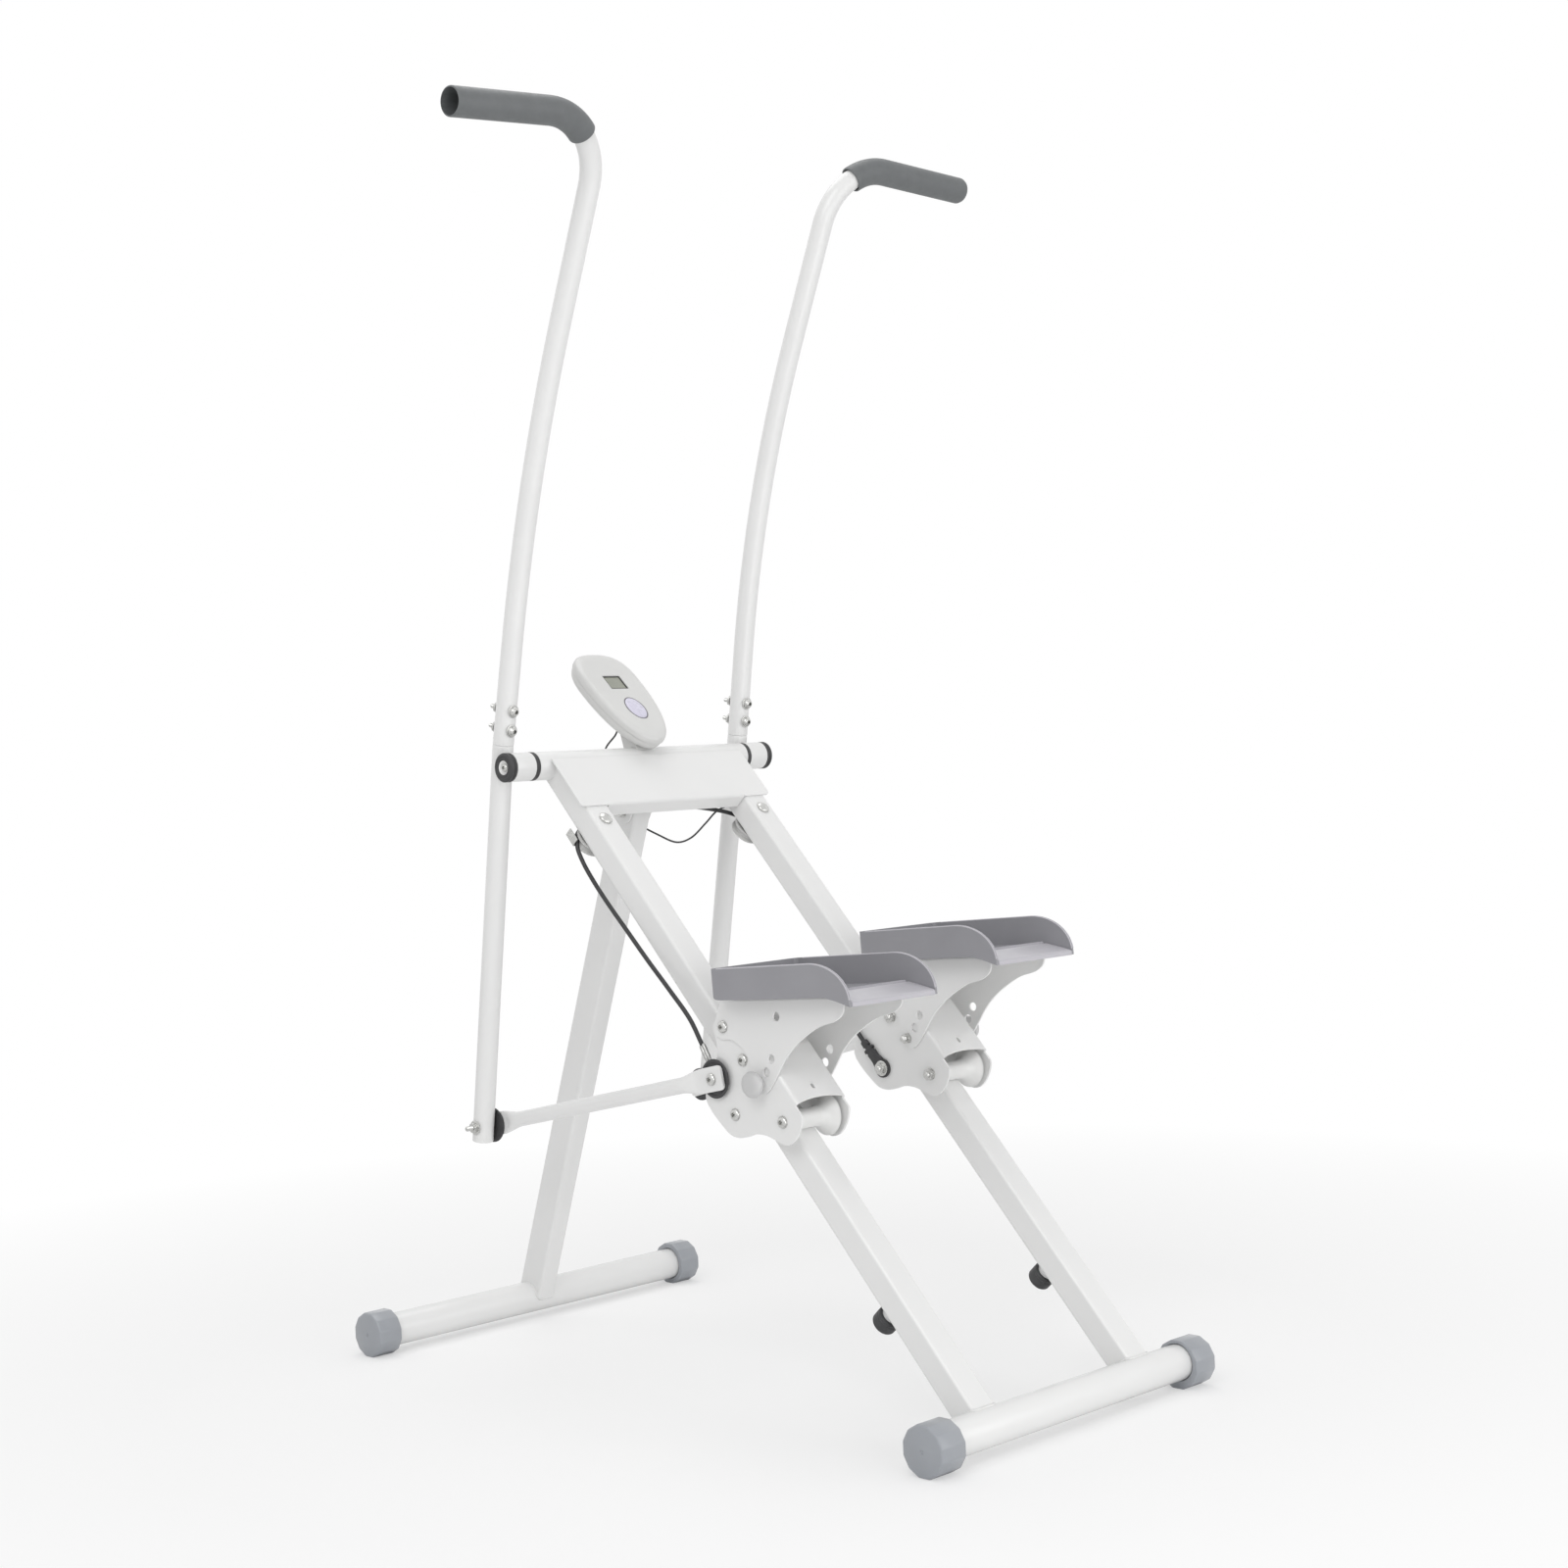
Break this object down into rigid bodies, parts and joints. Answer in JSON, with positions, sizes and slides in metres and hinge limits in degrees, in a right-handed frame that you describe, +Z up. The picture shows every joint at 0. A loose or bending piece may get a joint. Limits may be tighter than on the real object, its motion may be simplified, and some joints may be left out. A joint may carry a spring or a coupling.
{
  "type": "vertical climber",
  "caption": "Folding vertical climber with pedals that slide on sloping rails, linked to swinging handle arms, and a small console.",
  "frame": {"origin": "on the floor, at the centre of the bounding box's base", "axes": "+X to the user's right, +Y the way the user faces, +Z up"},
  "size_m": [0.9433, 1.044, 1.625],
  "materials": {
    "white_powder_coat": "satin white powder coat",
    "zinc_plate": "bright zinc plate",
    "black_rubber": "matt black rubber and sheathing",
    "grey_plastic": "fine moulded grain",
    "cap_plastic": "smooth mid grey moulding",
    "pulley_nylon": "pale nylon",
    "roller_nylon": "white nylon",
    "knob_plastic": "pale grey moulding",
    "grip_foam": "matt grey foam sleeve",
    "console_plastic": "white moulded shell",
    "lens": "olive grey display window",
    "button_plastic": "pale lilac moulding"
  },
  "bodies": {
    "frame": {"crossbar": "white_powder_coat", "pivot_shaft": "zinc_plate", "pivot_bush_left": "black_rubber", "pivot_bush_right": "black_rubber", "pivot_end_cap_left": "black_rubber", "pivot_end_cap_right": "black_rubber", "rail_left": "white_powder_coat", "rail_right": "white_powder_coat", "pulley_axle_left": "zinc_plate", "pulley_axle_right": "zinc_plate", "cover_plate": "white_powder_coat", "rear_foot_tube": "white_powder_coat", "bumper_left": "black_rubber", "bumper_right": "black_rubber", "leg_hinge_bracket": "white_powder_coat", "leg_hinge_bolt": "zinc_plate", "console_back": "console_plastic", "console_front": "console_plastic", "console_lens": "lens", "sensor_wire": "black_rubber", "cable": "black_rubber"},
    "folding_leg": {"leg_tube": "white_powder_coat", "front_foot_tube": "white_powder_coat", "front_cap_left": "cap_plastic", "front_cap_right": "cap_plastic"},
    "left_carriage": {"carriage_left": "white_powder_coat", "cable_end_left": "zinc_plate", "pedal_pivot_bolt_left": "zinc_plate", "pedal_bracket_left": "white_powder_coat", "pedal_left": "grey_plastic"},
    "left_upper_roller": {"upper_roller_left": "roller_nylon"},
    "left_lower_roller": {"lower_roller_left": "roller_nylon"},
    "left_under_roller": {"under_roller_left": "roller_nylon"},
    "left_knob": {"knob_left": "knob_plastic"},
    "left_arm": {"arm_lower_left": "white_powder_coat", "arm_upper_left": "white_powder_coat", "grip_left": "grip_foam", "arm_disc_left": "black_rubber"},
    "left_link": {"link_left": "white_powder_coat", "link_disc_left": "black_rubber"},
    "left_pulley": {"pulley_left": "pulley_nylon"},
    "left_rear_cap": {"rear_cap_left": "cap_plastic"},
    "right_carriage": {"carriage_right": "white_powder_coat", "cable_end_right": "black_rubber", "pedal_pivot_bolt_right": "zinc_plate", "pedal_bracket_right": "white_powder_coat", "pedal_right": "grey_plastic"},
    "right_upper_roller": {"upper_roller_right": "roller_nylon"},
    "right_lower_roller": {"lower_roller_right": "roller_nylon"},
    "right_under_roller": {"under_roller_right": "roller_nylon"},
    "right_knob": {"knob_right": "knob_plastic"},
    "right_arm": {"arm_lower_right": "white_powder_coat", "arm_upper_right": "white_powder_coat", "grip_right": "grip_foam", "arm_disc_right": "black_rubber"},
    "right_link": {"link_right": "white_powder_coat", "link_disc_right": "black_rubber"},
    "right_pulley": {"pulley_right": "pulley_nylon"},
    "right_rear_cap": {"rear_cap_right": "cap_plastic"},
    "console_button": {"console_button": "button_plastic"}
  },
  "joints": [
    {"name": "leg_fold", "type": "hinge", "parent": "frame", "child": "folding_leg", "pos_m": [0, 0.235, 0.734], "axis": [-1, 0, 0], "range_deg": [0, 60]},
    {"name": "left_carriage_slide", "type": "slide", "parent": "frame", "child": "left_carriage", "axis": [0, -0.6737, -0.739], "range_m": [-0.104, 0.076], "deforming": ["cable"]},
    {"name": "right_carriage_slide", "type": "slide", "parent": "frame", "child": "right_carriage", "axis": [0, -0.6737, -0.739], "range_m": [-0.076, 0.104]},
    {"name": "left_arm_swing", "type": "hinge", "parent": "frame", "child": "left_arm", "pos_m": [-0.214, 0.216, 0.801], "axis": [1, 0, 0], "range_deg": [-5.07, 6.9]},
    {"name": "left_link_swing", "type": "hinge", "parent": "left_carriage", "child": "left_link", "pos_m": [-0.195, -0.11278, 0.41062], "axis": [1, 0, 0], "range_deg": [-8.66, 6.36]},
    {"name": "left_upper_roller_spin", "type": "hinge", "parent": "left_carriage", "child": "left_upper_roller", "pos_m": [-0.144, -0.15856, 0.4361], "axis": [1, 0, 0], "range_deg": [-477.85, 349.5]},
    {"name": "left_lower_roller_spin", "type": "hinge", "parent": "left_carriage", "child": "left_lower_roller", "pos_m": [-0.144, -0.22323, 0.36516], "axis": [1, 0, 0], "range_deg": [-477.85, 349.5]},
    {"name": "left_under_roller_spin", "type": "hinge", "parent": "left_carriage", "child": "left_under_roller", "pos_m": [-0.144, -0.14175, 0.36801], "axis": [1, 0, 0], "range_deg": [-497.56, 680.45]},
    {"name": "left_pulley_spin", "type": "hinge", "parent": "frame", "child": "left_pulley", "pos_m": [-0.144, 0.15783, 0.69977], "axis": [0, -0.739, 0.6737], "range_deg": [-302.06, 221.05]},
    {"name": "left_knob_turn", "type": "hinge", "parent": "left_carriage", "child": "left_knob", "pos_m": [-0.144, -0.1892, 0.40991], "axis": [-1, 0, 0], "continuous": true},
    {"name": "left_rear_cap_turn", "type": "hinge", "parent": "frame", "child": "left_rear_cap", "pos_m": [-0.256, -0.492, 0.033], "axis": [-1, 0, 0], "continuous": true},
    {"name": "right_arm_swing", "type": "hinge", "parent": "frame", "child": "right_arm", "pos_m": [0.214, 0.216, 0.801], "axis": [1, 0, 0], "range_deg": [-6.9, 5.07]},
    {"name": "right_link_swing", "type": "hinge", "parent": "right_carriage", "child": "right_link", "pos_m": [0.195, -0.09392, 0.43131], "axis": [1, 0, 0], "range_deg": [-6.36, 8.66]},
    {"name": "right_upper_roller_spin", "type": "hinge", "parent": "right_carriage", "child": "right_upper_roller", "pos_m": [0.144, -0.1397, 0.4568], "axis": [1, 0, 0], "range_deg": [-349.5, 477.85]},
    {"name": "right_lower_roller_spin", "type": "hinge", "parent": "right_carriage", "child": "right_lower_roller", "pos_m": [0.144, -0.20437, 0.38585], "axis": [1, 0, 0], "range_deg": [-349.5, 477.85]},
    {"name": "right_under_roller_spin", "type": "hinge", "parent": "right_carriage", "child": "right_under_roller", "pos_m": [0.144, -0.12288, 0.3887], "axis": [1, 0, 0], "range_deg": [-680.45, 497.56]},
    {"name": "right_pulley_spin", "type": "hinge", "parent": "frame", "child": "right_pulley", "pos_m": [0.144, 0.15783, 0.69977], "axis": [0, -0.739, 0.6737], "range_deg": [-302.06, 221.05]},
    {"name": "right_knob_turn", "type": "hinge", "parent": "right_carriage", "child": "right_knob", "pos_m": [0.144, -0.17034, 0.4306], "axis": [1, 0, 0], "continuous": true},
    {"name": "right_rear_cap_turn", "type": "hinge", "parent": "frame", "child": "right_rear_cap", "pos_m": [0.256, -0.492, 0.033], "axis": [1, 0, 0], "continuous": true},
    {"name": "button_press", "type": "slide", "parent": "frame", "child": "console_button", "axis": [0, 0.682, -0.7314], "range_m": [0, 0.0015], "stiffness_N_per_m": 300}
  ],
  "couplings": [
    {"joint": "right_carriage_slide", "follows": "left_carriage_slide", "ratio": -1},
    {"joint": "left_arm_swing", "follows": "left_carriage_slide", "rad_per_m": -1.138},
    {"joint": "left_link_swing", "follows": "left_carriage_slide", "rad_per_m": 1.435},
    {"joint": "left_upper_roller_spin", "follows": "left_carriage_slide", "rad_per_m": 80},
    {"joint": "left_lower_roller_spin", "follows": "left_carriage_slide", "rad_per_m": 80},
    {"joint": "left_under_roller_spin", "follows": "left_carriage_slide", "rad_per_m": -114},
    {"joint": "left_pulley_spin", "follows": "left_carriage_slide", "rad_per_m": 50.5},
    {"joint": "right_arm_swing", "follows": "left_carriage_slide", "rad_per_m": 1.138},
    {"joint": "right_link_swing", "follows": "left_carriage_slide", "rad_per_m": -1.435},
    {"joint": "right_upper_roller_spin", "follows": "left_carriage_slide", "rad_per_m": -80},
    {"joint": "right_lower_roller_spin", "follows": "left_carriage_slide", "rad_per_m": -80},
    {"joint": "right_under_roller_spin", "follows": "left_carriage_slide", "rad_per_m": 114},
    {"joint": "right_pulley_spin", "follows": "left_carriage_slide", "rad_per_m": 50.5}
  ]
}
